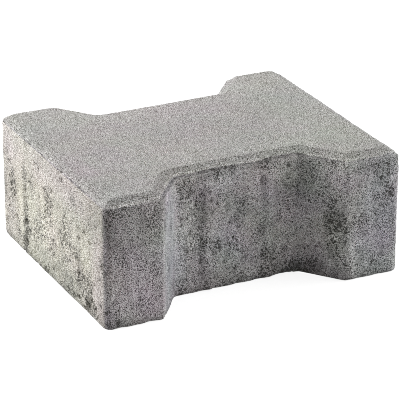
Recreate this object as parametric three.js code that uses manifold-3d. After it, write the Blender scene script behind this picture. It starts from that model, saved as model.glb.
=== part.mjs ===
// Double-T interlocking paving stone, pressed from one batch of concrete.
// Millimetres, +Z up. The origin is the centre of the underside, X runs along
// the stone and Y across it.
import * as THREE from 'three';
import * as BufferGeometryUtils from 'three/addons/utils/BufferGeometryUtils.js';
import Module from 'manifold-3d';

// Body
const LENGTH = 196;            // over the two heads
const WIDTH = 163;             // across a head
const HEIGHT = 81;
const HEAD_EDGE = 37;          // straight edge of a head, along X
const SHOULDER_RUN = 19.5;     // sloped shoulder, measured along X
const SHOULDER_DEPTH = 25;     // how far the waist lies behind the heads

// Plan corners
const END_CORNER_R = 5;        // the four outer corners
const SHOULDER_R = 2;          // where a head turns into a shoulder
const ROOT_R = 3.5;            // where a shoulder meets the waist
const ARC_STEP = THREE.MathUtils.degToRad(12);

// Bevelled arris round the wearing face
const BEVEL_WIDTH = 7;
const BEVEL_DROP = 4;
const BEVEL_MIN_R = 2;         // sharpest plan corner that the press die leaves

// Spacer nibs on the two waist walls, which hold the joint open
const NIB_X = 20.5;            // either side of the middle
const NIB_WIDTH = 8;           // where it leaves the wall
const NIB_PROUD = 1.8;
const NIB_CREST = 2.5;         // flat along the crest
const NIB_TOP = 71;            // where the nib has run out into the wall
const NIB_RAMP = 6;            // height of its sloping top
const NIB_ROOT = 1.5;          // how far it is buried in the wall
const NIB_FLANK = (NIB_WIDTH - NIB_CREST) / 2 / NIB_PROUD;

const HALF_L = LENGTH / 2;
const HALF_W = WIDTH / 2;
const WAIST_Y = HALF_W - SHOULDER_DEPTH;
const WAIST_X = HALF_L - HEAD_EDGE - SHOULDER_RUN;

// Corner points of the outline, counter-clockwise, each with its radius.
// A hollow corner has a negative radius.
function outlineCorners() {
  const quarter = [
    [HALF_L, HALF_W, END_CORNER_R],
    [HALF_L - HEAD_EDGE, HALF_W, SHOULDER_R],
    [WAIST_X, WAIST_Y, -ROOT_R],
  ];
  const mirroredX = quarter.map(([x, y, r]) => [-x, y, r]).reverse();
  const backHalf = [...quarter, ...mirroredX];
  const frontHalf = backHalf.map(([x, y, r]) => [-x, -y, r]);
  return [...backHalf, ...frontHalf];
}

// The outline moved in by `inset`, with every corner turned by an arc. The
// number of points doesn't depend on the inset, so two outlines can be lofted.
function outline(inset) {
  const corners = outlineCorners().map(([x, y, r]) => ({ at: new THREE.Vector2(x, y), r }));
  const points = [];
  corners.forEach((corner, i) => {
    const before = corners.at(i - 1).at;
    const after = corners[(i + 1) % corners.length].at;
    const into = corner.at.clone().sub(before).normalize();
    const out = after.clone().sub(corner.at).normalize();
    const turn = Math.atan2(into.cross(out), into.dot(out));
    const steps = Math.ceil(Math.abs(turn) / ARC_STEP);
    const hollow = corner.r < 0;
    const radius = hollow ? Math.abs(corner.r) + inset : Math.max(corner.r - inset, BEVEL_MIN_R);
    const side = hollow ? -1 : 1;
    // The inset corner lies on the bisector of the two inset edges.
    const leftOfInto = new THREE.Vector2(-into.y, into.x);
    const leftOfOut = new THREE.Vector2(-out.y, out.x);
    const bisector = leftOfInto.clone().add(leftOfOut).divideScalar(1 + into.dot(out));
    const centre = corner.at.clone().addScaledVector(bisector, inset + side * radius);
    const start = Math.atan2(-side * leftOfInto.y, -side * leftOfInto.x);
    for (let k = 0; k <= steps; k += 1) {
      const angle = start + (turn * k) / steps;
      points.push(new THREE.Vector2(
        centre.x + radius * Math.cos(angle),
        centre.y + radius * Math.sin(angle),
      ));
    }
  });
  return points;
}

// Closed body lofted through rings of equal point counts, from the bottom up.
function loft(rings) {
  const count = rings[0].points.length;
  const positions = rings.flatMap(({ points, z }) => points.flatMap((p) => [p.x, p.y, z]));
  const index = [];
  for (let level = 0; level + 1 < rings.length; level += 1) {
    for (let i = 0; i < count; i += 1) {
      const a = level * count + i;
      const b = level * count + ((i + 1) % count);
      index.push(a, b, b + count, a, b + count, a + count);
    }
  }
  const top = (rings.length - 1) * count;
  const lid = THREE.ShapeUtils.triangulateShape(rings.at(-1).points, []);
  const base = THREE.ShapeUtils.triangulateShape(rings[0].points, []);
  lid.forEach(([a, b, c]) => index.push(top + a, top + b, top + c));
  base.forEach(([a, b, c]) => index.push(a, c, b));
  const geometry = new THREE.BufferGeometry();
  geometry.setAttribute('position', new THREE.Float32BufferAttribute(positions, 3));
  geometry.setIndex(index);
  return geometry;
}

// Upright rib with sloping flanks and a sloping top, on the wall towards `side` Y.
function nib(x, side) {
  const halfWidth = (proud) => NIB_WIDTH / 2 - NIB_FLANK * proud;
  // Section from NIB_ROOT inside the wall out to `proud` in front of it.
  const section = (proud) => {
    const foot = halfWidth(-NIB_ROOT);
    const crest = halfWidth(proud);
    const ring = [
      new THREE.Vector2(x - foot, side * (WAIST_Y - NIB_ROOT)),
      new THREE.Vector2(x + foot, side * (WAIST_Y - NIB_ROOT)),
      new THREE.Vector2(x + crest, side * (WAIST_Y + proud)),
      new THREE.Vector2(x - crest, side * (WAIST_Y + proud)),
    ];
    return side > 0 ? ring : ring.reverse();
  };
  return loft([
    { points: section(NIB_PROUD), z: 0 },
    { points: section(NIB_PROUD), z: NIB_TOP - NIB_RAMP },
    { points: section(-NIB_ROOT / 2), z: NIB_TOP },
  ]);
}

function toManifold(geometry) {
  const bare = geometry.clone();
  bare.deleteAttribute('normal');
  bare.deleteAttribute('uv');
  const merged = BufferGeometryUtils.mergeVertices(bare, 1e-4);
  return new wasm.Manifold(new wasm.Mesh({
    numProp: 3,
    vertProperties: new Float32Array(merged.getAttribute('position').array),
    triVerts: new Uint32Array(merged.getIndex().array),
  }));
}

function toGeometry(solid) {
  const mesh = solid.getMesh();
  const geometry = new THREE.BufferGeometry();
  geometry.setAttribute('position', new THREE.BufferAttribute(mesh.vertProperties, 3));
  geometry.setIndex(new THREE.BufferAttribute(mesh.triVerts, 1));
  geometry.computeVertexNormals();
  return geometry;
}

function pavingStone() {
  const body = loft([
    { points: outline(0), z: 0 },
    { points: outline(0), z: HEIGHT - BEVEL_DROP },
    { points: outline(BEVEL_WIDTH), z: HEIGHT },
  ]);
  let cast = toManifold(body);
  for (const x of [-NIB_X, NIB_X]) {
    for (const side of [-1, 1]) {
      cast = cast.add(toManifold(nib(x, side)));
    }
  }
  return toGeometry(cast);
}

const wasm = await Module();
wasm.setup();

const concrete = new THREE.MeshStandardMaterial({
  name: 'concrete',
  color: new THREE.Color(0.62, 0.61, 0.59),
  roughness: 0.95,
  metalness: 0,
});

const stone = new THREE.Mesh(pavingStone(), concrete);
stone.name = 'paving_stone';

const model = new THREE.Group();
model.name = 'double_t_paving_stone';
model.add(stone);

export default model;
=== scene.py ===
import math
import bpy
import numpy as np
from mathutils import Matrix, Vector, kdtree, noise


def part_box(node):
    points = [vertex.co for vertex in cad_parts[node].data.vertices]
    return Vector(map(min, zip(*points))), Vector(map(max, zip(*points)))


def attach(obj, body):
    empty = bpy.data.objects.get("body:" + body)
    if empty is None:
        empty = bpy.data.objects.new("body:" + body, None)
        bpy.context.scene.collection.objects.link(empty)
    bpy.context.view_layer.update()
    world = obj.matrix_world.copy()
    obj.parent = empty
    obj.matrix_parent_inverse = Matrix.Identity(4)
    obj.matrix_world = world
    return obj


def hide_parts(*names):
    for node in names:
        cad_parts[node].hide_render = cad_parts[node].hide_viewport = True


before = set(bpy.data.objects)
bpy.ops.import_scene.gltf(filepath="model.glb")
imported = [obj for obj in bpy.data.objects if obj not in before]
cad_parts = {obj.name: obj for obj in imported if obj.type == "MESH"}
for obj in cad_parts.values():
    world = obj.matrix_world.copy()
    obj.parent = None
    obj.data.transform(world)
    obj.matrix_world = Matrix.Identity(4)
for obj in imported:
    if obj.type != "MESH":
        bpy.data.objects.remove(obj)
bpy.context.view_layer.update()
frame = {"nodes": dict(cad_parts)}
scene = bpy.context.scene
scene.view_settings.view_transform = "Standard"
# both keep sand-sized grain crisp
scene.cycles.denoising_prefilter = "NONE"
scene.cycles.filter_width = 1.0
print("frame loaded:", ", ".join(frame["nodes"]))

# Shapes are worked out in millimetres and made in metres.
mm = 0.001
stoneLow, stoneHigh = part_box("paving_stone")
length, width, height = [(stoneHigh[axis] - stoneLow[axis]) / mm for axis in range(3)]
halfLength = length / 2
halfWidth = width / 2

stone = {
    "headEdge": 37, "shoulderRun": 19.5, "shoulderDepth": 25,
    "endCornerRadius": 5, "shoulderRadius": 2, "rootRadius": 3.5, "sharpestRadius": 2,
    "edgeDepth": 5.6,                       # the wall's top, below the wearing face
    "longSteps": 200, "endSteps": 148,      # quads along a profiled side and along an end
    "wallSteps": 68,
    "undersideCoarser": 4,                  # the hidden underside has quads this many times larger
    "undersideStrip": 6,                    # and starts this far in from the walls
}
headX = halfLength - stone["headEdge"]      # where the plan's bends lie
waistX = headX - stone["shoulderRun"]
waistY = halfWidth - stone["shoulderDepth"]
wallTop = height - stone["edgeDepth"]

camera = {
    "azimuth": -26.046, "elevation": 23.039, "roll": 0.084,   # degrees
    "distance": 1395.8,                                        # from the middle of the stone
    "aimRight": 1.934, "aimUp": -5.88,                         # where it looks, off that middle
    "lens": 202.2, "sensor": 36,
    "nearest": 0.05, "farthest": 60,                           # metres
}


def makeCamera():
    azimuth, elevation, roll = [math.radians(camera[name]) for name in ("azimuth", "elevation", "roll")]
    turn = (Matrix.Rotation(azimuth, 4, "Z") @ Matrix.Rotation(math.pi / 2 - elevation, 4, "X")
            @ Matrix.Rotation(roll, 4, "Z"))
    offset = turn @ Vector((camera["aimRight"], camera["aimUp"], camera["distance"]))
    place = Vector((0, 0, height / 2)) + offset
    data = bpy.data.cameras.new("camera")
    data.lens = camera["lens"]
    data.sensor_width = camera["sensor"]
    data.clip_start = camera["nearest"]
    data.clip_end = camera["farthest"]
    made = bpy.data.objects.new("camera", data)
    made.matrix_world = Matrix.Translation(place * mm) @ turn
    scene.collection.objects.link(made)
    scene.camera = made


studio = {
    # where a lamp stands, in degrees round the stone from its low X end towards +Y and above the
    # floor, the light level on a face turned to it, and its distance and width in metres
    "key": {"round": 47, "above": 20.5, "level": 1.26, "distance": 1.7, "width": 1.1},
    "fill": {"round": 200, "above": 21, "level": 0.62, "distance": 1.8, "width": 1.2},
    "ambient": 0.39,
    "floorColor": 0.36,
    "floorGlow": 0.84,      # what the floor adds to its own colour where it is looked at
    "floorWidth": 14,
    "floorDrop": 0.00005,   # keeps the floor apart from the stone's underside
    "floorUnder": 3.5,      # how far it reaches in under the stone's rim, in millimetres
}


def makeLamp(name, setup):
    data = bpy.data.lights.new(name, "AREA")
    data.shape = "DISK"
    data.size = setup["width"]
    data.energy = setup["level"] * (math.pi * setup["distance"]) ** 2      # watts for that level
    made = bpy.data.objects.new(name, data)
    turn = math.radians(setup["round"])
    rise = math.radians(setup["above"])
    towards = Vector((-math.cos(turn) * math.cos(rise), math.sin(turn) * math.cos(rise), math.sin(rise)))
    made.location = Vector((0, 0, height / 2 * mm)) + towards * setup["distance"]
    made.rotation_euler = towards.to_track_quat("Z", "Y").to_euler()
    scene.collection.objects.link(made)


class Value:
    # a number socket that Python sums can be written with
    def __init__(self, shader, socket):
        self.shader = shader
        self.socket = socket

    def __add__(self, other):
        return self.shader.math("ADD", self, other)

    def __sub__(self, other):
        return self.shader.math("SUBTRACT", self, other)

    def __rsub__(self, other):
        return self.shader.math("SUBTRACT", other, self)

    def __mul__(self, other):
        return self.shader.math("MULTIPLY", self, other)

    __radd__ = __add__
    __rmul__ = __mul__


class Shader:
    def __init__(self, tree):
        self.tree = tree
        self.tree.nodes.clear()

    def node(self, kind, settings=None, feeds=None):
        made = self.tree.nodes.new(kind)
        for key, value in (settings or {}).items():
            setattr(made, key, value)
        for key, value in (feeds or {}).items():
            self.feed(made.inputs[key], value)
        return made

    def feed(self, socket, value):
        if isinstance(value, Value):
            value = value.socket
        if isinstance(value, bpy.types.NodeSocket):
            self.tree.links.new(value, socket)
        elif hasattr(value, "__len__") and len(value) == 3 and socket.type == "RGBA":
            socket.default_value = (*value, 1)
        else:
            socket.default_value = value

    def math(self, operation, first, second):
        made = self.node("ShaderNodeMath", {"operation": operation}, {0: first, 1: second})
        return Value(self, made.outputs[0])

    def larger(self, first, second):
        return self.math("MAXIMUM", first, second)

    def clamp(self, number, low=0.0, high=1.0):
        return self.math("MINIMUM", self.larger(number, low), high)

    def ramp(self, number, start, end):
        made = self.node("ShaderNodeMapRange", {"interpolation_type": "SMOOTHSTEP"},
                         {"Value": number, "From Min": start, "From Max": end})
        return Value(self, made.outputs["Result"])

    def mix(self, first, second, share):
        # sockets 6, 7 and 2 are the colour ones
        made = self.node("ShaderNodeMix", {"data_type": "RGBA"}, {"Factor": share, 6: first, 7: second})
        return made.outputs[2]

    def vector(self, operation, first, second):
        # the second is a number for SCALE and a vector for the rest
        other = "Scale" if operation == "SCALE" else 1
        made = self.node("ShaderNodeVectorMath", {"operation": operation}, {0: first, other: second})
        return made.outputs["Vector"]

    def attribute(self, name):
        made = self.node("ShaderNodeAttribute", {"attribute_name": name})
        return Value(self, made.outputs["Fac"])

    def noise(self, place, size, detail, roughness=0.5):
        # from about -0.5 to 0.5
        made = self.node("ShaderNodeTexNoise", {}, {
            "Vector": place, "Scale": 1 / size, "Detail": detail, "Roughness": roughness})
        return Value(self, made.outputs["Fac"]) - 0.5

    def cells(self, place, size):
        # the distance to the nearest cell's middle, and three random numbers for each cell
        made = self.node("ShaderNodeTexVoronoi", {}, {"Vector": place, "Scale": 1 / size})
        lot = self.node("ShaderNodeSeparateColor", {}, {"Color": made.outputs["Color"]})
        return Value(self, made.outputs["Distance"]), [Value(self, number) for number in lot.outputs]


def lookedAt(shader):
    # 1 for a ray that shows the studio itself: straight, in a polished face or through a clear one
    rays = shader.node("ShaderNodeLightPath").outputs
    straight, mirrored, through = [Value(shader, rays[name]) for name in (
        "Is Camera Ray", "Is Glossy Ray", "Is Transmission Ray")]
    return shader.clamp(straight + mirrored + through)


def makeFloor():
    # open under the stone and clear from below, so that the stone's underside can be looked at
    half = studio["floorWidth"] / 2
    low = -studio["floorDrop"]
    under = studio["floorUnder"]
    opening = [(halfLength - under, 0), (halfLength - under, halfWidth - under),
               (headX, halfWidth - under), (waistX - under, waistY - under)]
    opening += [(-x, y) for x, y in reversed(opening)]
    corners, halves = [], []
    for side in (1, -1):
        first = len(corners)
        corners += [(side * x * mm, side * y * mm, low) for x, y in opening]
        corners += [(-side * half, 0, low), (-side * half, side * half, low),
                    (side * half, side * half, low), (side * half, 0, low)]
        halves.append(list(range(first, len(corners)))[::-1])
    mesh = bpy.data.meshes.new("studio_floor")
    mesh.from_pydata(corners, [], halves)
    floor = bpy.data.objects.new("studio_floor", mesh)
    scene.collection.objects.link(floor)
    material = bpy.data.materials.new("pale_floor")
    material.use_nodes = True
    shader = Shader(material.node_tree)
    grey = studio["floorColor"]
    matt = shader.node("ShaderNodeBsdfDiffuse", {}, {"Color": (grey, grey, grey)})
    glow = lookedAt(shader) * studio["floorGlow"]
    shine = shader.node("ShaderNodeEmission", {}, {"Color": (1, 1, 1), "Strength": glow})
    both = shader.node("ShaderNodeAddShader", {}, {0: matt.outputs[0], 1: shine.outputs[0]})
    below = shader.node("ShaderNodeNewGeometry").outputs["Backfacing"]
    clear = shader.node("ShaderNodeBsdfTransparent")
    sheet = shader.node("ShaderNodeMixShader", {}, {0: below, 1: both.outputs[0], 2: clear.outputs[0]})
    shader.node("ShaderNodeOutputMaterial", {}, {"Surface": sheet.outputs[0]})
    mesh.materials.append(material)


def makeWorld():
    world = bpy.data.worlds.new("studio")
    world.use_nodes = True
    scene.world = world
    shader = Shader(world.node_tree)
    strength = lookedAt(shader) * (1 - studio["ambient"]) + studio["ambient"]
    sky = shader.node("ShaderNodeBackground", {}, {"Color": (1, 1, 1), "Strength": strength})
    shader.node("ShaderNodeOutputWorld", {}, {"Surface": sky.outputs[0]})


makeCamera()
makeWorld()
makeLamp("key", studio["key"])
makeLamp("fill", studio["fill"])
makeFloor()
print("studio and camera ready")


def smoothStep(value, start, end):
    share = np.clip((value - start) / (end - start), 0, 1)
    return share * share * (3 - 2 * share)


def outlineArcs(inset):
    # the twelve corner arcs of the plan moved in by inset, anticlockwise from the near corner at the
    # low X end
    quarter = [
        (halfLength, halfWidth, stone["endCornerRadius"]),
        (headX, halfWidth, stone["shoulderRadius"]),
        (waistX, waistY, -stone["rootRadius"]),      # a hollow corner
    ]
    backHalf = quarter + [(-x, y, radius) for x, y, radius in reversed(quarter)]
    corners = [(-x, -y, radius) for x, y, radius in backHalf] + backHalf
    arcs = []
    for i, (x, y, radius) in enumerate(corners):
        here = Vector((x, y))
        into = (here - Vector(corners[i - 1][:2])).normalized()
        out = (Vector(corners[(i + 1) % len(corners)][:2]) - here).normalized()
        turn = math.atan2(into.x * out.y - into.y * out.x, into.dot(out))
        side = -1 if radius < 0 else 1
        rounding = -radius + inset if radius < 0 else max(radius - inset, stone["sharpestRadius"])
        leftOfInto = Vector((-into.y, into.x))
        leftOfOut = Vector((-out.y, out.x))
        bisector = (leftOfInto + leftOfOut) / (1 + into.dot(out))
        start = math.atan2(-side * leftOfInto.y, -side * leftOfInto.x)
        arcs.append((here + bisector * (inset + side * rounding), rounding, start, turn))
    return arcs


def onArc(arc, share):
    centre, rounding, start, turn = arc
    angle = start + turn * share
    return centre + Vector((math.cos(angle), math.sin(angle))) * rounding


def outlineStations():
    # evenly spaced places round the plan, each as an arc or straight and the share along it
    arcs = outlineArcs(0)
    runs = []
    for i, arc in enumerate(arcs):
        following = arcs[(i + 1) % len(arcs)]
        runs += [arc[1] * abs(arc[3]), (onArc(following, 0) - onArc(arc, 1)).length]
    starts = np.concatenate([[0], np.cumsum(runs)])
    # the top is one sheet, whose own corners lie at the middles of the four end corners
    middles = [starts[2 * i] + runs[2 * i] / 2 for i in (0, 5, 6, 11)]
    marks = middles + [middles[0] + starts[-1]]
    counts = [stone["longSteps"], stone["endSteps"]] * 2
    stations = []
    for first, last, count in zip(marks, marks[1:], counts):
        for place in np.linspace(first, last, count, endpoint=False) % starts[-1]:
            run = int(np.searchsorted(starts, place, side="right")) - 1
            stations.append((run, (place - starts[run]) / runs[run]))
    return stations


stations = outlineStations()


def ring(inset):
    # the stations' places when the plan is moved in by inset
    arcs = outlineArcs(inset)
    points = []
    for run, share in stations:
        arc = arcs[run // 2]
        if run % 2 == 0:
            points.append(onArc(arc, share))
        else:
            points.append(onArc(arc, 1).lerp(onArc(arcs[(run // 2 + 1) % len(arcs)], 0), share))
    return np.array(points)


def patch(edge, longSteps, endSteps):
    # a sheet of quads whose rim is the closed edge, as points[i, j] with i along the stone
    count = len(edge)
    i = np.arange(longSteps + 1)
    j = np.arange(endSteps + 1)
    near = edge[i][:, None]
    far = edge[(2 * longSteps + endSteps - i) % count][:, None]
    left = edge[(count - j) % count][None]
    right = edge[longSteps + j][None]
    u = (i / longSteps)[:, None, None]
    v = (j / endSteps)[None, :, None]
    corners = ((1 - u) * (1 - v) * near[0, 0] + u * (1 - v) * near[-1, 0]
               + (1 - u) * v * far[0, 0] + u * v * far[-1, 0])
    return (1 - v) * near + v * far + (1 - u) * left + u * right - corners


def patchIndex(firstInner, rim, longSteps, endSteps):
    # vertex numbers of a patch whose rim exists already and whose inner ones start at firstInner
    count = len(rim)
    index = np.zeros((longSteps + 1, endSteps + 1), int)
    inner = np.arange((longSteps - 1) * (endSteps - 1)).reshape(longSteps - 1, -1)
    index[1:-1, 1:-1] = firstInner + inner
    i = np.arange(longSteps + 1)
    j = np.arange(endSteps + 1)
    index[:, 0] = rim[i]
    index[:, -1] = rim[(2 * longSteps + endSteps - i) % count]
    index[0, :] = rim[(count - j) % count]
    index[-1, :] = rim[longSteps + j]
    return index


def quadsOf(index):
    return np.stack([index[:-1, :-1], index[1:, :-1], index[1:, 1:], index[:-1, 1:]], -1).reshape(-1, 4)


bottomArris = {
    "rows": [(2.2, 0), (0.9, 0.12), (0.3, 0.5), (0, 1.3)],      # inset and height
    "sharperAtLowEnd": 0.7,
}

edge = {
    # The rim of the press shoe doesn't sit quite true over the mould, so the section changes along
    # the outline. Each row is the side, counted anticlockwise from the near head at the low X end,
    # with the place along it, then:
    # the inset of the lip that the shoe squeezed up, its depth below the wearing face, and the
    # depth of the crumbly groove below the lip,
    # the inset of the bevel's top and how far the bevel sags (below 0 it bulges),
    # how crumbly the groove is and how pale the lip is (0 to 1), and the bevel's tint.
    # The groove's darkening is partly painted shade, the lip's paleness partly painted highlight,
    # and the bevel's tint partly painted shade on the low X end and the near slope.
    "line": [
        # near head
        (0.08, 0.5, 4.2, 0.2, 5.8, 0.1, 0, 1.8, 0.06), (0.5, 0.6, 4.2, 0.3, 5.7, 0.1, 0.1, 1.6, 0.02),
        (0.92, 0.9, 3.9, 0.4, 5.8, 0.2, 0.2, 1, 0),
        # near slope
        (1.08, 2, 3.2, 1.2, 8, 0.2, 0.7, 0.4, -0.24), (1.92, 2, 3.1, 1.2, 8.4, 0.2, 0.8, 0.4, -0.24),
        # waist
        (2.04, 2.2, 3.4, 0.8, 7, 0.3, 1, 1, 0.05), (2.12, 2.4, 3.3, 0.8, 6.6, 0.3, 1, 1, 0.05),
        (2.27, 3.1, 2.7, 1, 7.4, 0.3, 1, 1, 0.05), (2.5, 2.7, 2.9, 0.9, 7.7, 0.3, 0.9, 0.8, 0.05),
        (2.65, 1.9, 3.4, 0.6, 7.2, 0.3, 0.8, 0.6, 0.05), (2.78, 3.6, 2.4, 1.3, 7.6, 0.3, 1, 0.1, 0.03),
        (2.95, 3.2, 2.7, 1.1, 7.6, 0.3, 1, 0.1, 0),
        # far slope
        (3.1, 1.6, 3.4, 0.7, 7.3, 0.2, 0.9, 0.2, -0.1), (3.9, 1.4, 3.3, 0.7, 7.2, 0.2, 0.8, 0.1, -0.12),
        # far head
        (4.1, 1.5, 3, 0.7, 8, 0.3, 0.6, 0.1, -0.1), (4.6, 1.8, 2.9, 0.7, 8.1, 0.3, 0.6, 0, -0.1),
        (4.9, 3.2, 2.4, 0.9, 8.2, 0.3, 0.4, 0, -0.1), (4.99, 3.1, 2.6, 2.6, 8.2, 0.2, 0.15, 0.3, -0.1),
        # high X end
        (5.01, 2.6, 2.9, 2.6, 7.7, 0.1, 0.1, 0.4, 0), (5.07, 1.2, 3.9, 1.1, 7.2, 0, 0.3, 0.3, 0.1),
        (5.46, 1.1, 3.9, 1, 7.4, 0, 0.5, 0.3, 0.12),
        (5.6, 0.7, 3.9, 0.3, 7.2, 0, 0.4, 0.3, 0.14), (5.9, 0.3, 3.9, 0.2, 7, 0, 0.3, 0.3, 0.16),
        # the back of the stone
        (6.1, 0.3, 3.9, 0.2, 5.7, 0, 0.3, 0.3, 0.1), (6.9, 0.3, 3.9, 0.2, 5.7, 0, 0.3, 0.3, 0.1),
        (7.1, 0.4, 3.9, 0.2, 7.2, 0, 0.4, 0.1, -0.35), (7.9, 0.4, 3.9, 0.2, 7, 0, 0.4, 0.1, -0.35),
        (8.1, 0.4, 3.8, 0.2, 5.8, 0, 0.5, 0.3, 0.12), (8.5, 0.5, 3.8, 0.2, 6.9, 0, 0.5, 0.3, 0.12),
        (8.9, 0.4, 3.8, 0.2, 7.2, 0, 0.5, 0.3, 0.12), (9.5, 0.4, 3.8, 0.2, 7, 0, 0.4, 0.3, 0.12),
        (10.1, 0.3, 3.9, 0.2, 6.9, 0, 0.2, 0.3, 0.15), (10.9, 0.3, 3.8, 0.2, 6.9, 0, 0.3, 0.4, 0.1),
        # low X end
        (11.1, 0.6, 3.9, 0.5, 6.8, -0.3, 0.4, 0.1, -0.28),
        (11.45, 0.6, 3.9, 0.4, 6.8, -0.3, 0.25, 0.1, -0.28),
        (11.58, 0.6, 3.8, 0.7, 6.8, -0.3, 0.7, 0, -0.28),
        (11.83, 0.6, 3.8, 0.7, 6.8, -0.3, 0.7, 0, -0.28),
        (11.95, 0.6, 3.8, 0.4, 6.8, -0.3, 0.2, 0, -0.28),
    ],
    # how the lip and the bevel's top stray from their lines, and over what distances
    "lipStray": 0.44, "lipLift": 0.22, "topStray": 0.132, "straySize": 7, "liftSize": 11,
    "leastLip": 0.3,
    # rows of the groove: the inset as a share of the lip's, the height as a share of the groove's,
    # and how crumbly it is, which also sets its painted shade
    "grooveRows": [(0.05, 0, 0.4), (0.45, 0.12, 0.9), (0.85, 0.3, 1)],
    "underGroove": 0.4,
    "lipWidth": 0.7, "lipRise": 0.12,
    # the bevel ends in a short steeper step: its height, its least height and its width
    "arris": 0.25, "leastArris": 0.06, "arrisWidth": 0.35,
    # corners worn round: place, reach, depth, height where it starts and where it is full
    "wornCorners": [((halfLength, -halfWidth), 8, 0.5, 66, 77),
                    ((-halfLength, halfWidth), 8, 0.9, 75, 79),
                    ((-halfLength, -halfWidth), 7, 1.3, 8, 0)],
    "bevelSteps": 6,
}


def alongEdge():
    # the columns of the edge's line at every station
    rows = np.array(edge["line"])
    side = np.floor(rows[:, 0])
    at = np.array([run + share for run, share in stations])
    columns = [np.interp(at, rows[:, 0] + side + 1, column, period=24) for column in rows.T[1:]]
    lip, drop, groove, top, sag, crumblyShaded, paleHighlit, tint = columns
    # the lip strays in plan and lifts in height, each by a noise of its own along the rim
    stray, lift = [np.array([noise.fractal((x / size, y / size, start), 1.0, 2.0, 3) for x, y in ring(0)])
                   for size, start in ((edge["straySize"], 2.5), (edge["liftSize"], 8.5))]
    seen = smoothStep(crumblyShaded, 0, 0.5)
    lip = np.maximum(lip + edge["lipStray"] * stray * seen, edge["leastLip"])
    drop = drop - edge["lipLift"] * lift * seen
    top = top + edge["topStray"] * lift
    crumblyShaded = np.clip(crumblyShaded + 0.5 * lift, 0, 1)
    paleHighlit = np.clip(paleHighlit + stray, 0, 2)
    return lip, drop, groove, top, sag, crumblyShaded, paleHighlit, tint


def edgeSection():
    # (inset, height, crumbliness with painted shade, paleness with painted highlight) of each row at
    # every station, from the wall's top to the wearing face, with the bevel's tint, partly painted shade,
    # beside them
    lip, drop, groove, top, sag, crumblyShaded, paleHighlit, tint = alongEdge()
    crest = height - drop       # the lip's
    ledge = crest - groove      # the foot of the groove below it
    none = np.zeros(len(stations))
    rows = [(none, ledge - edge["underGroove"], 0.15 * crumblyShaded, none)]
    rows += [(inset * lip, ledge + rise * groove, share * crumblyShaded, none)
             for inset, rise, share in edge["grooveRows"]]
    # the lip's paleness is partly painted highlight
    rows += [(0.97 * lip, crest - 0.25 * groove, 0.7 * crumblyShaded, 0.5 * paleHighlit),
             (lip + 0.1, crest, none, paleHighlit)]
    start = lip + 0.1 + edge["lipWidth"]
    low = crest + edge["lipRise"]
    rows.append((start, low, none, paleHighlit))
    arris = np.maximum(edge["arris"] + sag, edge["leastArris"])
    end = top - edge["arrisWidth"]
    bend = 0.6 * sag
    for step in range(1, edge["bevelSteps"] + 1):
        share = step / edge["bevelSteps"]
        up = (1 - bend) * share + bend * share ** 2
        rows.append((start + (end - start) * share, low + (height - arris - low) * up, none,
                     0.6 * paleHighlit if step == 1 else none))
    # the wearing face starts softly
    return rows + [(top, height - 0.04 + none, none, none), (top + 0.6, height + none, none, none)], tint


def wholeSection():
    # the same of each row from the bed to the wearing face
    none = np.zeros(len(stations))
    lowEnd = smoothStep(-ring(0)[:, 0], halfLength - 6, halfLength - 1)
    share = 1 - bottomArris["sharperAtLowEnd"] * lowEnd
    rows = [(inset * share, z * share, none, none) for inset, z in bottomArris["rows"]]
    wallFirst = bottomArris["rows"][-1][1]
    wallHeights = np.linspace(wallFirst, wallTop, stone["wallSteps"])[1:]
    edgeRows, bevelTintAndShade = edgeSection()
    rows += [(none, none + z, none, none) for z in wallHeights] + edgeRows
    for corner, reach, depth, start, full in edge["wornCorners"]:
        worn = depth * np.exp(-(np.hypot(*(ring(0) - corner).T) / reach) ** 2)
        rows = [(np.maximum(inset, worn * smoothStep(z, start, full)), z, crumblyShaded, paleHighlit)
                for inset, z, crumblyShaded, paleHighlit in rows]
    return rows, bevelTintAndShade


def wallPoints(section):
    # points[row, station]; each row's place is found between plans that are moved in by even steps
    step = 0.25
    deepest = 12
    rings = np.array([ring(inset) for inset in np.arange(0, deepest, step)])
    every = np.arange(len(stations))
    walls = []
    for inset, z, crumblyShaded, paleHighlit in section:
        low = (inset / step).astype(int)
        share = (inset / step - low)[:, None]
        between = rings[low, every] * (1 - share) + rings[low + 1, every] * share
        walls.append(np.column_stack([between, z]))
    return np.array(walls)


def undersideSheet(first):
    # a strip that joins the bed's rim to a coarser ring, and a coarse sheet inside it; their points
    # are numbered from first
    count = len(stations)
    coarser = stone["undersideCoarser"]
    half = coarser // 2
    inner = ring(stone["undersideStrip"])[::coarser]
    inner = np.column_stack([inner, np.zeros(len(inner))])
    innerIndex = first + np.arange(len(inner))
    triangles = []
    for k in range(len(inner)):
        here, following = innerIndex[k], innerIndex[(k + 1) % len(inner)]
        run = [(coarser * k + n) % count for n in range(coarser + 1)]
        triangles += [(run[n + 1], run[n], here) for n in range(half)]
        triangles += [(run[n + 1], run[n], following) for n in range(half, coarser)]
        triangles.append((run[half], here, following))
    steps = (stone["longSteps"] // coarser, stone["endSteps"] // coarser)
    sheet = patch(inner, *steps)[1:-1, 1:-1].reshape(-1, 3)
    quads = quadsOf(patchIndex(first + len(inner), innerIndex, *steps))[:, ::-1]
    return np.concatenate([inner, sheet]), quads, triangles


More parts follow.
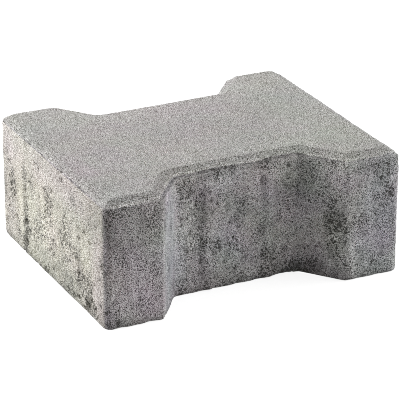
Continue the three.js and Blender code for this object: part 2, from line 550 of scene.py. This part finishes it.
def stoneGrid():
    # points, quads, triangles and zones of the whole skin before it is roughened
    section, bevelTintAndShade = wholeSection()
    walls = wallPoints(section)
    rows, count = walls.shape[:2]
    index = np.arange(rows * count).reshape(rows, count)
    index = np.column_stack([index, index[:, 0]])
    wallQuads = quadsOf(index)[:, [0, 3, 2, 1]]      # turned over, to face outwards

    steps = (stone["longSteps"], stone["endSteps"])
    top = patch(walls[-1], *steps)[1:-1, 1:-1].reshape(-1, 3)
    topQuads = quadsOf(patchIndex(rows * count, (rows - 1) * count + np.arange(count), *steps))
    underside, undersideQuads, triangles = undersideSheet(rows * count + len(top))

    firstOfTop = rows - edge["bevelSteps"] - 4      # rows from the lip inwards belong to the top
    row = np.arange(rows)
    onBevel = (row >= firstOfTop + 2) & (row < rows - 2)
    points = np.concatenate([walls.reshape(-1, 3), top, underside])
    zones = {}
    for name, values in {
            "top": np.concatenate([np.repeat(row >= firstOfTop, count), np.ones(len(top))]),
            "bevelTintAndShade": (onBevel[:, None] * bevelTintAndShade).ravel(),
            "crumblyShaded": np.concatenate([crumblyShaded for inset, z, crumblyShaded, paleHighlit in section]),
            "paleHighlit": np.concatenate([paleHighlit for inset, z, crumblyShaded, paleHighlit in section]),
            "rim": np.ones(3 * count)}.items():      # the rounded rows of the bottom arris
        zones[name] = np.zeros(len(points))
        zones[name][:len(values)] = values
    return points, np.concatenate([wallQuads, topQuads, undersideQuads]), np.array(triangles), zones


def vertexNormals(points, quads, triangles):
    # each face's normal, from its diagonals or from two of its sides, is added at its corners
    normals = np.zeros_like(points)
    for faces, (a, b, c, d) in ((quads, (0, 2, 1, 3)), (triangles, (0, 1, 0, 2))):
        corners = [points[column] for column in faces.T]
        across = np.cross(corners[b] - corners[a], corners[d] - corners[c])
        for column in faces.T:
            np.add.at(normals, column, across)
    return normals / np.linalg.norm(normals, axis=1)[:, None]


points, quads, triangles, zones = stoneGrid()
normals = vertexNormals(points, quads, triangles)
print("stone skin:", len(points), "points,", 2 * len(quads) + len(triangles), "triangles")


def roughNoise(size, octaves, seed, stretch):
    # solid noise from about -1 to 1 at every point; stretch draws it out along the height
    shift = Vector((3.7, 9.1, 5.3)) * (seed + 1)
    scaled = points / np.array([size, size, size * stretch])
    return np.array([noise.fractal(Vector(p) + shift, 1.0, 2.0, octaves) for p in scaled])


def layer(made):
    strength, size, octaves, seed, stretch = made
    return strength * roughNoise(size, octaves, seed, stretch)


spacerNibs = {
    "x": 20.5, "width": 9.5, "crest": 2, "proud": 1.45, "top": 71, "ramp": 6,
}

endRidges = {
    # upright marks of the worn mould on the low X end, as places across it and heights
    "at": [(46.5, 0.55), (-39, 0.3)],
    "halfWidth": 3.6,
    "rise": (4, 12), "fade": (46, 66),       # heights over which a mark starts and ends
    # how far the face between the corners lies back, and where that starts and ends
    "hollow": 0.35, "hollowRise": (2, 9), "hollowFade": (60, 74), "hollowSides": (20, 6),
}

cast = {
    # each kind of unevenness: depth, size, octaves, seed, and how far it is drawn out up the walls
    "wave": (0.16, 34, 2, 1, 1),
    "drag": (0.14, 2.6, 2, 2, 16),
    "grain": (0.16, 3.4, 3, 3, 1),
    "open": (0.26, 2.4, 2, 9, 1),           # where the cement skin is open
    "topWave": (0.1, 46, 2, 4, 1),
    "topGrain": (0.05, 2.8, 3, 6, 1),
    "crumbs": (0.9, 3.2, 3, 8, 1),          # in the groove under the lip
    "raggedRims": (0.6, 1.9, 2, 5, 1),      # of the hollows
    # where the skin is open, and what part of it
    "openPatches": (1.3, 15, 4, 21, 1.4), "openSpots": (0.65, 5, 4, 23, 1.4), "openShare": 0.42,
    # mean depths below the true faces
    "openDepth": 0.104, "wallDepth": 0.05, "topDepth": 0.02, "crumblyDepth": 0.25,
    "lessOnEnds": {"drag": 0.5, "open": 0.3, "openShare": 0.12},
}


def faceMasks():
    # how far each point belongs to a kind of face, from 0 to 1, by where its normal points
    underside = smoothStep(-normals[:, 2], 0.8, 0.95)
    wall = np.clip(1 - zones["top"] - underside, 0, 1)
    end = wall * smoothStep(np.abs(normals[:, 0]), 0.9, 0.98)
    return {"top": zones["top"], "underside": underside, "wall": wall, "end": end}


masks = faceMasks()


def nibRelief():
    x, y, z = points.T
    fromNib = np.abs(np.abs(x) - spacerNibs["x"])
    across = 1 - smoothStep(fromNib, spacerNibs["crest"] / 2, spacerNibs["width"] / 2)
    upTo = 1 - smoothStep(z, spacerNibs["top"] - spacerNibs["ramp"], spacerNibs["top"])
    onWaists = (np.abs(y) < waistY + 1) & (np.abs(y) > waistY - 3)
    return spacerNibs["proud"] * across * upTo * onWaists * (1 - masks["underside"])


# Places on the stone's faces, from how far across and up them they are.
def onEnd(y, z):
    return (-halfLength, y, z)


def onTop(x, y):
    return (x, y, height)


def onWaist(x, z):
    return (x, -waistY, z)


def onHead(x, z):
    return (x, -halfWidth, z)


def onFarShoulder(along, z):
    # along the slope, from the waist outwards
    run, depth = stone["shoulderRun"], stone["shoulderDepth"]
    share = along / math.hypot(run, depth)
    return (waistX + run * share, -waistY - depth * share, z)


def onNearShoulder(along, z):
    x, y, z = onFarShoulder(along, z)
    return (-x, y, z)


def opposite(face):
    # the same places on the face across the stone
    def place(along, up):
        x, y, z = face(along, up)
        return (-x, -y, z)
    return place


def placed(faces):
    # the rows, with the place on their face instead of their first two numbers
    return [(face(*row[:2]), *row[2:]) for face, rows in faces.items() for row in rows]


# hollows that the pressed concrete left: their place, width, height and depth
blowholes = placed({
    onEnd: [
        (-55.2, 5.6, 4.6, 3, 2.2), (-52.3, 6.9, 4, 1.8, 1.7), (-60.2, 11.5, 2, 6, 1.7),
        (-62.5, 8.8, 2.2, 3, 1.7), (-65.8, 7.4, 2.2, 4.4, 1.7), (-40.7, 5, 4, 2.6, 1.3),
        (-49.6, 2.2, 3, 1.8, 1.3), (-44.5, 7.5, 2.2, 2, 1.2), (-68.5, 3.5, 2.6, 2, 1.2),
        (-58.8, 15.5, 1.8, 2, 1.2), (-26, 4, 2.6, 1.5, 0.8), (41.5, 22.5, 4.5, 4, 1.1),
        (41, 9, 4, 4.5, 1.1), (45.5, 6.5, 4.5, 2.5, 0.8), (-41, 21, 3.5, 2.5, 1.1),
        (-38.5, 30, 2.5, 3, 0.7), (-8, 31, 3.5, 2, 0.7), (-14, 36, 4, 2, 0.8), (-10, 33.5, 3, 1.8, 0.7),
        (-42, 44, 4, 2, 0.7), (-50, 51, 3, 2.2, 0.7), (-33, 4, 5, 2.5, 0.8), (68.5, 53, 4.5, 2, 0.8),
        (12.5, 55, 3.5, 2.5, 0.7), (19.5, 46.5, 3, 2.5, 0.7), (42, 43, 3, 4, 0.7), (66, 39, 4, 2.5, 0.7),
        (61, 33, 4, 2, 0.7)],
    onHead: [(90.5, 53, 4, 4, 0.7)],
    onWaist: [
        (-38, 46, 3, 2.5, 0.6), (-29, 57, 2.5, 2.5, 0.6), (-35, 29, 2.5, 3, 0.6), (2, 54, 3, 2.5, 0.6),
        (-6, 42, 3, 2, 0.6)],
    onFarShoulder: [(20, 38, 5, 4, 0.8), (26, 36, 4, 5, 0.9), (23, 43, 4, 3, 0.7)],
})

pores = {
    "seed": 14, "onWalls": 700, "onTop": 110,
    "smallest": 0.65, "largest": 1.5,       # radii
    "spread": 2.6, "rarest": 0.96,          # small ones are the most common
    "topScale": 0.7,
    "taller": 0.8,                          # how much taller than wide they may be on a wall
    "depth": (0.35, 0.65),                  # least and most, of the radius
    "fullDepth": 1.2, "darkest": 1.6,       # a hollow this deep gets its full painted shade, and how far deeper ones go
    # the skin is open round a hollow: how much wider and taller, and by how much
    "openRound": (1.6, 1.8, 0.4), "openRoundMost": 0.3,
}


def sinkPores():
    # how deep every point lies in a hollow or pore
    tree = kdtree.KDTree(len(points))
    for i, point in enumerate(points):
        tree.insert(point, i)
    tree.balance()
    depth = np.zeros(len(points))
    ragged = layer(cast["raggedRims"])

    def sink(centre, wide, tall, deep):
        # ragged rims can reach past half the width
        for place, i, away in tree.find_range(centre, max(wide, tall) * 0.75):
            x, y, z = points[i] - np.array(centre)
            reach = math.hypot(math.hypot(x, y) / (wide / 2), z / (tall / 2)) + ragged[i]
            if reach < 1:
                depth[i] = max(depth[i], deep * (1 - reach ** 5))

    for centre, wide, tall, deep in blowholes:
        sink(centre, wide, tall, deep)
    draw = np.random.default_rng(pores["seed"])
    least, most = pores["depth"]
    for zone, count, scale in (
            ("wall", pores["onWalls"], 1), ("top", pores["onTop"], pores["topScale"])):
        where = np.flatnonzero(masks[zone] > 0.9)
        for i in draw.choice(where, count):
            radius = pores["smallest"] * (1 - draw.random() * pores["rarest"]) ** (-1 / pores["spread"])
            radius = min(radius, pores["largest"]) * scale
            taller = 1 + draw.random() * pores["taller"]
            deep = radius * (least + (most - least) * draw.random())
            sink(points[i], 2 * radius, 2 * radius * (taller if zone == "wall" else 1), deep)
    return depth


# Broad patches that differ from the rest: the place, width, height and amount, below 0 for less.
patches = {
    "moreOpen": placed({
        onEnd: [
            (-15, 20, 120, 44, 0.2), (-6, 1, 150, 14, 0.3), (30, 68, 110, 22, -0.6),
            (-68, 32, 16, 50, -0.5), (-56, 8, 20, 16, 0.3), (-42, 62, 80, 30, -0.3),
            (42, 22, 8, 40, 0.8), (70, 38, 18, 18, 0.6), (42, 52, 7, 18, 0.3), (22, 14, 22, 36, -0.3),
            (17, 4, 13, 11, -0.5)],
        onNearShoulder: [(14, 40, 26, 90, -0.42)],
        onHead: [
            (-80, 20, 34, 40, -0.15), (-80, 44, 36, 20, -0.3), (-68, 8, 14, 16, -0.3),
            (-82, 66, 34, 18, 0.25), (76, 40, 26, 60, -0.2), (90, 54, 8, 12, 0.5)],
        onWaist: [
            (-8, 70, 18, 14, -0.45), (-39, 22, 9, 30, -0.5), (-28, 52, 12, 24, 0.2),
            (1, 48, 9, 16, 0.45), (-33, 4, 18, 12, 0.2), (-34, 40, 14, 70, -0.35),
            (-12, 30, 12, 26, -0.5), (8, 66, 30, 14, -0.45), (37, 4, 12, 16, 0.8)],
        onFarShoulder: [(24, 37, 14, 22, 0.75), (10, 5, 30, 14, 0.6), (20, 64, 18, 20, -0.4)],
    }),
    "calmer": placed({
        onHead: [(-80, 40, 44, 110, 0.45), (80, 40, 44, 110, 0.15)],
        onFarShoulder: [(15, 62, 36, 40, 0.4)],
        opposite(onEnd): [(0, 40, 140, 110, 0.4)],
        opposite(onWaist): [(0, 40, 90, 110, 0.3)],
        opposite(onHead): [(80, 40, 46, 110, 0.35), (-80, 40, 46, 110, 0.35)],
    }),
    # Some rows below paint light and shade; they are noted where they stand.
    "lighter": placed({
        onEnd: [
            # (42.5, 20), (-42.5, 34) and (50.5, 26) paint shade and highlight on the flanks of the
            # upright marks, (0, 4) paints contact shade along the bed, and (-79, 40) paints shade on the
            # rounded near corner
            (42.5, 20, 4.5, 50, -0.35), (-42.5, 34, 4, 44, -0.25), (76, 38, 6, 26, -0.25),
            (50.5, 26, 4.5, 40, 0.3), (40, 68, 30, 14, 0.14), (8, 28, 26, 14, 0.14),
            (57, 26, 9, 18, 0.14), (0, 4, 170, 20, -0.26), (-79, 40, 5, 90, -0.3),
            (-57, 7, 14, 7, -0.15), (-35, 4, 10, 6, -0.15), (-10, 33, 12, 7, -0.15),
            (67, 38, 10, 10, -0.2), (20, 44, 8, 5, -0.15), (-50, 52, 6, 6, -0.2), (8, 40, 22, 54, 0.4),
            (-5, 8, 60, 14, -0.15), (-76, 8, 14, 18, -0.25), (-74, 70, 18, 16, -0.28),
            (76, 70, 16, 16, 0.15), (56, 9, 22, 14, 0.25), (40, 3, 50, 9, -0.12), (22, 24, 24, 18, 0.15),
            (-24, 40, 14, 16, 0.2), (70, 55, 18, 14, 0.15), (0, 71, 60, 10, -0.2),
            (-62, 66, 34, 24, -0.2), (-72, 36, 16, 60, -0.17), (-16, 16, 20, 16, -0.18),
            (17, 3, 13, 9, 0.25), (-22, 38, 14, 12, 0.1), (4, 29, 130, 30, 0.1), (41, 38, 14, 16, -0.18)],
        onNearShoulder: [(14, 40, 30, 90, -0.12)],
        onHead: [
            # (-80, 2) and (80, 2) paint contact shade along the bed
            (-78, 64, 40, 26, -0.3), (-94, 60, 7, 22, -0.3), (-80, 2, 40, 8, -0.2), (80, 2, 40, 8, -0.2),
            (66, 40, 3, 90, 0.25), (-95.5, 30, 5, 70, 0.25), (-78, 26, 30, 34, 0.1),
            (78, 40, 34, 90, -0.07), (-80, 18, 34, 36, 0.16), (74, 34, 10, 50, 0.2),
            (96, 60, 7, 34, -0.3), (-80, 40, 36, 16, 0.04), (-68, 8, 14, 14, 0.12),
            (-88, 35, 15, 38, -0.22), (80, 74, 40, 6, -0.18)],
        onWaist: [
            # (-24.5, 40), (16.5, 66) and (17, 30) paint shade on the nibs' flanks turned from the fill,
            # (22, 30) paints highlight on a lit flank, and the rows at heights 1 and 2 paint contact
            # shade along the bed
            (-24.5, 40, 3.5, 80, -0.2), (16.5, 66, 4, 26, -0.4), (17, 30, 4, 60, -0.2),
            (36, 2, 26, 14, -0.55), (12, 1, 60, 7, -0.35), (-32, 1, 24, 8, -0.3), (41, 40, 5, 90, -0.4),
            (-33, 30, 9, 60, 0.15), (22, 30, 5, 60, 0.2), (33, 46, 16, 60, 0.25),
            (-20, 62, 8, 28, -0.25), (-36, 32, 10, 44, 0.25), (12, 60, 8, 26, 0.15),
            (-8, 70, 18, 14, 0.2), (-39, 22, 9, 30, 0.35), (-41, 46, 5, 60, 0.15),
            (-14, 56, 32, 20, -0.28), (0, 32, 70, 28, 0.12), (4, 75, 76, 7, -0.12)],
        onFarShoulder: [
            # (14, 3) paints contact shade along the bed
            (4, 66, 12, 30, -0.35), (24, 39, 16, 14, -0.5), (14, 3, 34, 12, -0.6), (20, 64, 18, 22, 0.2),
            (28, 40, 10, 90, 0.25), (12, 70, 30, 16, 0.2), (10, 11, 22, 18, -0.2), (24, 45, 18, 80, 0.2)],
        onTop: [(0, 66, 210, 60, 0.14), (-15, 42, 46, 30, 0.08), (15, 2, 90, 44, -0.07)],
    }),
    "pinker": placed({
        onEnd: [
            (0, 69, 170, 24, 0.6), (-71, 29, 20, 52, 0.8), (66, 16, 26, 26, 0.3),
            (-10, 8, 130, 22, -0.4), (10, 34, 90, 34, -0.3), (-45, 44, 26, 34, -0.3),
            (70, 64, 24, 30, 0.5)],
        onNearShoulder: [(14, 32, 30, 72, 0.6)],
        onHead: [(-80, 18, 40, 50, 1.1), (-78, 66, 44, 26, -0.5), (90, 30, 16, 50, 0.5)],
        onWaist: [(-28, 68, 16, 16, 0.7), (-10, 62, 24, 26, 0.3)],
        onFarShoulder: [(22, 40, 30, 40, -0.6)],
        onTop: [
            (-10, 10, 110, 70, 0.35), (78, 0, 40, 170, -0.5), (-88, -24, 12, 34, 0.8),
            (-70, -3, 22, 12, 0.4), (15, 36, 50, 26, 0.5), (-72, -22, 40, 44, 0.45),
            (52, -44, 60, 26, -0.6), (95, 0, 9, 170, 0.4)],
    }),
    "bluer": placed({
        onEnd: [
            (68, 70, 26, 22, 0.9), (-5, 68, 110, 24, 0.5), (-71, 29, 20, 52, 0.7),
            (0, 36, 110, 40, -0.6), (52, 26, 18, 44, -0.7)],
        onNearShoulder: [(14, 36, 30, 90, 2.2)],
        onHead: [
            (84, 60, 26, 40, 0.8), (90, 28, 16, 40, 0.7), (68, 50, 12, 20, -0.6),
            (-80, 62, 40, 28, -0.6), (-80, 20, 40, 50, -0.45), (-96, 50, 5, 60, -0.9),
            (80, 30, 34, 70, 0.5), (78, 40, 44, 90, 0.9)],
        onWaist: [(-8, 36, 20, 30, 0.5), (24, 36, 40, 90, -0.45), (-39, 22, 10, 34, 0.9)],
        onFarShoulder: [(22, 40, 30, 40, -0.5)],
        onTop: [(95, 0, 9, 170, 0.8)],
    }),
}


def spread(places):
    # the sum of amounts that are level inside each place and fade out at its rim
    total = np.zeros(len(points))
    for centre, wide, tall, amount in places:
        offset = points - np.array(centre)
        if centre[2] == height:
            across, up = offset[:, 0], offset[:, 1]
            zone = masks["top"]
        else:
            across, up = np.hypot(offset[:, 0], offset[:, 1]), offset[:, 2]
            zone = masks["wall"]
        total += amount * (np.exp(-(across / (wide / 2)) ** 4 - (up / (tall / 2)) ** 4) * zone)
    return total


def openSkin():
    # how open the cement skin is at every point, from 0 to 1
    varied = layer(cast["openPatches"]) + layer(cast["openSpots"])
    wider, taller, amount = pores["openRound"]
    nearHoles = [(centre, wider * wide, taller * tall, amount) for centre, wide, tall, deep in blowholes]
    raised = spread(patches["moreOpen"]) + np.minimum(spread(nearHoles), pores["openRoundMost"])
    mean = cast["openShare"] - cast["lessOnEnds"]["openShare"] * masks["end"]
    return masks["wall"] * np.clip(mean + varied * (1 - spread(patches["calmer"])) + raised, 0, 1)


def endRidgeRelief():
    x, y, z = points.T
    upTo = smoothStep(z, *endRidges["rise"]) * (1 - smoothStep(z, *endRidges["fade"]))
    ridges = np.zeros(len(points))
    for place, high in endRidges["at"]:
        ridges += high * (1 - smoothStep(np.abs(y - place), 0, endRidges["halfWidth"])) * upTo
    first, last = endRidges["hollowSides"]
    inner = 1 - smoothStep(np.abs(y), halfWidth - first, halfWidth - last)
    inner *= smoothStep(z, *endRidges["hollowRise"]) * (1 - smoothStep(z, *endRidges["hollowFade"]))
    return masks["end"] * (x < 0) * (ridges - endRidges["hollow"] * inner)


def roughen(skin):
    # how far every point lies outside the true face, and how deep in a hollow
    wall, top, end = masks["wall"], masks["top"], masks["end"]
    less = cast["lessOnEnds"]
    relief = endRidgeRelief()
    relief += wall * layer(cast["wave"])
    relief += (wall - less["drag"] * end) * layer(cast["drag"])
    relief += wall * layer(cast["grain"])
    relief += skin * (1 - less["open"] * end) * (layer(cast["open"]) - cast["openDepth"])
    relief += top * (layer(cast["topWave"]) + layer(cast["topGrain"]))
    relief -= cast["wallDepth"] * wall + cast["topDepth"] * top
    relief = np.minimum(relief, 0)      # nothing stands outside the true faces
    relief -= zones["crumblyShaded"] * np.clip(cast["crumblyDepth"] + layer(cast["crumbs"]), 0, 1)
    pit = sinkPores()
    return relief - pit, pit


brokenBed = {
    # how far the bottom arris is broken back: its depth, the chips along it, their mean, how much
    # less the two ends have of it, and over what heights it fades out
    "depth": 1.1, "chips": (0.6, 7, 2, 7, 1), "mean": 0.2,
    "lessAtEnds": 0.8, "endsFrom": 6, "endsTo": 3,
    "fade": (0.6, 3.5),
    "lift": 0.3, "liftFade": (1, 3),      # how far the chips also rise off the bed
    # where it is broken more, or less: the place, length and amount
    "places": placed({
        onEnd: [(-50, 0, 46, 0.42), (-10, 0, 34, 0.25), (62, 0, 14, 0.2), (78, 0, 10, 0.4)],
        onHead: [(-69, 0, 10, 0.3), (-61, 0, 7, -0.4)],
        onWaist: [(31, 0, 20, 0.6), (10, 0, 30, 0.15)],
        onFarShoulder: [(8, 0, 22, -0.6), (24, 0, 13, -0.5)],
    }),
}


def bottomWear():
    x, y, z = points.T
    worn = np.clip(brokenBed["mean"] + layer(brokenBed["chips"]), 0, 1)
    atEnds = smoothStep(np.abs(x), halfLength - brokenBed["endsFrom"], halfLength - brokenBed["endsTo"])
    worn *= 1 - brokenBed["lessAtEnds"] * atEnds
    for (atX, atY, atZ), wide, amount in brokenBed["places"]:
        worn += amount * np.exp(-(np.hypot(x - atX, y - atY) / (wide / 2)) ** 4)
    worn = brokenBed["depth"] * np.maximum(worn, 0)
    return worn * (1 - smoothStep(z, *brokenBed["fade"])) * np.maximum(zones["rim"], masks["wall"])


def weathered(relief):
    # the points of the roughened skin, with the nibs on it and the bottom arris worn
    moved = points + normals * relief[:, None]
    outward = normals * np.array([1, 1, 0])
    moved += outward * nibRelief()[:, None]
    outward /= np.maximum(np.linalg.norm(outward, axis=1), 1e-6)[:, None]
    wear = bottomWear()
    moved -= outward * wear[:, None]
    z = points[:, 2]
    moved[:, 2] += brokenBed["lift"] * wear * (z > 0) * (1 - smoothStep(z, *brokenBed["liftFade"]))
    moved[:, 2] = np.clip(moved[:, 2], 0, height)
    return moved


skin = openSkin()
relief, pit = roughen(skin)
moved = weathered(relief)
print("surface roughened")

# What colours the skin, kept as vertex attributes.
tints = {
    # strength, size, octaves, seed, and how far it is drawn out up the walls
    "streaks": (0.32, 5, 3, 12, 7),
    "mottle": (0.38, 7, 4, 15, 1.5),
    "pink": (1.28, 22, 2, 13, 1), "blue": (1.28, 28, 2, 14, 1),
    "lessOnEnds": {"streaks": 0.6, "mottle": 0.35, "hue": 0.5}, "lessHueOnTop": 0.5,
    # the groove is darkened partly as painted shade, the lip lightened partly as painted highlight
    "openSkin": -0.12, "crumblyShaded": -1.0, "paleHighlit": 0.65,
    "bottom": (-0.4, 5.5),      # the walls darker towards the bed, partly painted contact shade, and how high it reaches
}


def skinTints():
    # tone is above 0 where the skin is lighter, pink and blue where it leans that way; tone also carries
    # painted shade and highlight on the groove, the lip, the bevels, the bed and some patches
    wall, top, end = masks["wall"], masks["top"], masks["end"]
    less = tints["lessOnEnds"]
    tone = (wall - less["streaks"] * end) * layer(tints["streaks"])
    mottled = wall - less["mottle"] * end - spread(patches["calmer"])
    tone += mottled * (0.5 + skin) * layer(tints["mottle"])
    tone += spread(patches["lighter"]) + tints["openSkin"] * skin
    # the groove's darkening is partly painted shade, the lip's paleness partly painted highlight
    tone += tints["crumblyShaded"] * zones["crumblyShaded"] + tints["paleHighlit"] * zones["paleHighlit"]
    # the bevel's tint is partly painted shade, on the low X end and the near slope
    tone += zones["bevelTintAndShade"]
    # partly painted contact shade: the walls darker towards the bed
    strength, high = tints["bottom"]
    tone += strength * wall * (1 - smoothStep(points[:, 2], 0, high))
    hue = (1 - less["hue"] * end) * (1 - zones["crumblyShaded"]) * (1 - tints["lessHueOnTop"] * top)
    pink = layer(tints["pink"]) * hue + spread(patches["pinker"])
    blue = layer(tints["blue"]) * hue + spread(patches["bluer"])
    return {"tone": tone, "pink": pink, "blue": blue, "openSkin": skin}


def makeStone():
    mesh = bpy.data.meshes.new("weathered_paving_stone")
    mesh.from_pydata((moved * mm).tolist(), [], quads.tolist() + triangles.tolist())
    mesh.validate()
    # how deep each point lies in a hollow, which the material paints as shade
    hollows = np.clip(pit / pores["fullDepth"], 0, pores["darkest"])
    marks = {"wall": masks["wall"], "endFace": masks["end"], "pit": hollows, **skinTints()}
    for name, values in marks.items():
        attribute = mesh.attributes.new(name, "FLOAT", "POINT")
        attribute.data.foreach_set("value", values.astype(np.float32))
    mesh.shade_smooth()
    made = bpy.data.objects.new("weathered_paving_stone", mesh)
    scene.collection.objects.link(made)
    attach(made, "root")
    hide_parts("paving_stone")
    return made


pavingStone = makeStone()
print("stone mesh made")

concrete = {
    "wearing": (0.409, 0.398, 0.383),
    "wall": (0.528, 0.510, 0.503),
    "endFace": (0.566, 0.545, 0.486),
    "pinkTint": (0.022, -0.03, 0.022), "blueTint": (-0.022, 0, 0.022),
    "darkest": (0.02, 0.02, 0.02),
    "turn": (0.6, 0.4, 0.9),      # so that no flat face runs along the noise's own lattice
    "tone": 0.5,                  # how far the skin's tone lightens or darkens it
    "light": (0.05, 2),           # the least and most that all of it comes to
    "mottle": {"size": 4.5, "onTop": 0.1, "moreOnWalls": 0.4, "lessOnEnds": 0.2},
    "clouds": {"size": 30, "strength": 0.15},
    # of this sand's cells the part above is dark, where the skin is open
    "darkSand": {"size": 0.95, "above": (0.86, 0.92), "darker": 0.75},
    # shows more on the walls, most where the skin is open, and there the dark grains go further
    # than the pale ones
    "sand": {"size": 0.5, "onTop": 1.72, "onWalls": 2.6, "calm": 0.8, "open": 0.38, "end": 0.06,
             "darkSide": 1.05, "moreWhereOpen": 1.3},
    "grit": {"size": 1.3, "relief": 0.3, "onWalls": 0.4, "open": 0.25},
    # small holes of two sizes of cell, painted dark as their shade; a hole's radius is a share of its
    # cell
    "holes": {"cells": (1.9, 1.2), "drawn": 0.5, "open": 0.38, "end": 0.026, "less": 0.325,
              "rim": 0.08, "paintedShade": 0.82, "relief": 0.5},
    # where a hollow's rim lies, how ragged grit and sand make it, and how much painted shade fills it
    "hollow": {"rim": (0.38, 0.6), "grit": 2.5, "sand": 4, "paintedShade": 0.6, "darker": 0.25,
               "color": (0.04, 0.038, 0.03)},
    "bump": 0.3, "bumpDepth": 0.6,
    "roughness": 0.93, "specular": 0.25,
}


def concreteHoles(shader, place, wall, endFace, openness):
    # larger and closer where the skin is open
    setup = concrete["holes"]
    holes = wall * 0
    for size in setup["cells"]:
        distance, lot = shader.cells(place, size)
        radius = lot[0] * setup["drawn"] + openness * setup["open"] + endFace * setup["end"]
        radius = radius - setup["less"]
        holes = shader.larger(holes, shader.ramp(radius - distance, 0, setup["rim"]) * wall)
    return holes


def makeConcrete():
    material = bpy.data.materials.new("grey_concrete")
    material.use_nodes = True
    shader = Shader(material.node_tree)
    coordinates = shader.node("ShaderNodeTexCoord").outputs["Object"]
    turned = shader.node("ShaderNodeMapping", {}, {
        "Vector": coordinates, "Rotation": concrete["turn"], "Scale": (1 / mm, 1 / mm, 1 / mm)})
    place = turned.outputs[0]
    wall, endFace, pitted, tone, pink, blue, openness = [
        shader.attribute(name) for name in ("wall", "endFace", "pit", "tone", "pink", "blue", "openSkin")]

    color = shader.mix(concrete["wearing"], concrete["wall"], wall)
    color = shader.mix(color, concrete["endFace"], endFace)
    tinted = shader.vector("SCALE", concrete["pinkTint"], pink)
    tinted = shader.vector("ADD", tinted, shader.vector("SCALE", concrete["blueTint"], blue))
    color = shader.vector("MULTIPLY", color, shader.vector("ADD", tinted, (1, 1, 1)))

    darkSand, sand, mottle, clouds = [concrete[name] for name in ("darkSand", "sand", "mottle", "clouds")]
    darkGrains = shader.ramp(shader.cells(place, darkSand["size"])[1][1], *darkSand["above"])
    grains = shader.noise(place, sand["size"], 0)
    mottled = shader.noise(place, mottle["size"], 2)
    cloudy = shader.noise(place, clouds["size"], 3)
    mottled = mottled * (mottle["onTop"] + wall * mottle["moreOnWalls"] - endFace * mottle["lessOnEnds"])
    light = (1 + mottled + cloudy * clouds["strength"]) * (1 + tone * concrete["tone"])
    light = light * (1 - darkGrains * openness * darkSand["darker"])
    color = shader.vector("SCALE", color, shader.clamp(light, *concrete["light"]))
    # the sand varies in brightness much more than in hue
    onWalls = sand["onWalls"] * (sand["calm"] + openness * sand["open"] + endFace * sand["end"])
    strength = wall * (onWalls - sand["onTop"]) + sand["onTop"]
    skewed = wall * (1 + openness * sand["moreWhereOpen"]) * sand["darkSide"]
    speckle = strength * grains * (1 - grains * skewed) * light
    grey = shader.node("ShaderNodeCombineXYZ", {}, {0: speckle, 1: speckle, 2: speckle})
    color = shader.vector("ADD", color, grey.outputs[0])
    color = shader.vector("MAXIMUM", color, concrete["darkest"])

    grit, hollow, holes = [concrete[name] for name in ("grit", "hollow", "holes")]
    gritty = shader.noise(place, grit["size"], 1, 0.6)
    pierced = concreteHoles(shader, place, wall, endFace, openness)
    cavity = shader.ramp(pitted * (1 + gritty * hollow["grit"] + grains * hollow["sand"]), *hollow["rim"])
    # painted shade in the small holes and inside the hollows
    paintedShade = shader.larger(pierced * holes["paintedShade"],
                         cavity * shader.clamp(hollow["paintedShade"] + pitted * hollow["darker"]))
    color = shader.mix(color, hollow["color"], paintedShade)
    relief = gritty * (grit["relief"] + wall * grit["onWalls"] + openness * grit["open"])
    relief = relief - pierced * holes["relief"]
    bump = shader.node("ShaderNodeBump", {}, {
        "Strength": concrete["bump"], "Distance": concrete["bumpDepth"] * mm, "Height": relief})
    surface = shader.node("ShaderNodeBsdfPrincipled", {}, {
        "Base Color": color, "Roughness": concrete["roughness"],
        "Specular IOR Level": concrete["specular"], "Normal": bump.outputs[0]})
    shader.node("ShaderNodeOutputMaterial", {}, {"Surface": surface.outputs[0]})
    pavingStone.data.materials.append(material)


makeConcrete()
print("concrete material made")
